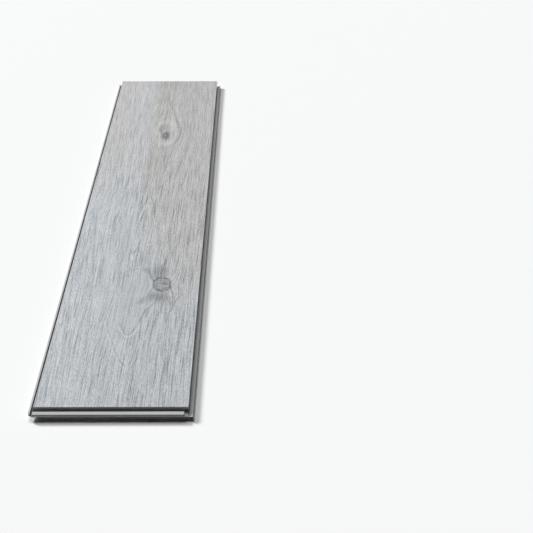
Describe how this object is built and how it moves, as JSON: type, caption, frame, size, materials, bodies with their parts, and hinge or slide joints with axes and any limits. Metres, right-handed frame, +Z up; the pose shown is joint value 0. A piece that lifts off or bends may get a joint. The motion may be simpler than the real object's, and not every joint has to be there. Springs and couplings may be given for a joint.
{
  "type": "vinyl floor plank",
  "caption": "Rigid vinyl floor plank with a grey oak face, square eased edges, a tongue and lower lip on the long sides, a drop-in hook and lip on the ends and a thin foam pad underneath.",
  "frame": {"origin": "under the foam pad, below the middle of the laid face", "axes": "+Y along the plank towards the rear hook, +X across it towards the lower lip, +Z up out of the laid face"},
  "size_m": [0.1911, 1.2328, 0.01],
  "materials": {
    "rigid_vinyl": "matt embossed grey oak print on the face, bare grey core on the edges and underside",
    "pad_foam": "grey closed-cell foam sheet with a fine pitted skin"
  },
  "bodies": {
    "root": {"plank": "rigid_vinyl", "underlay_pad": "pad_foam"}
  },
  "joints": []
}
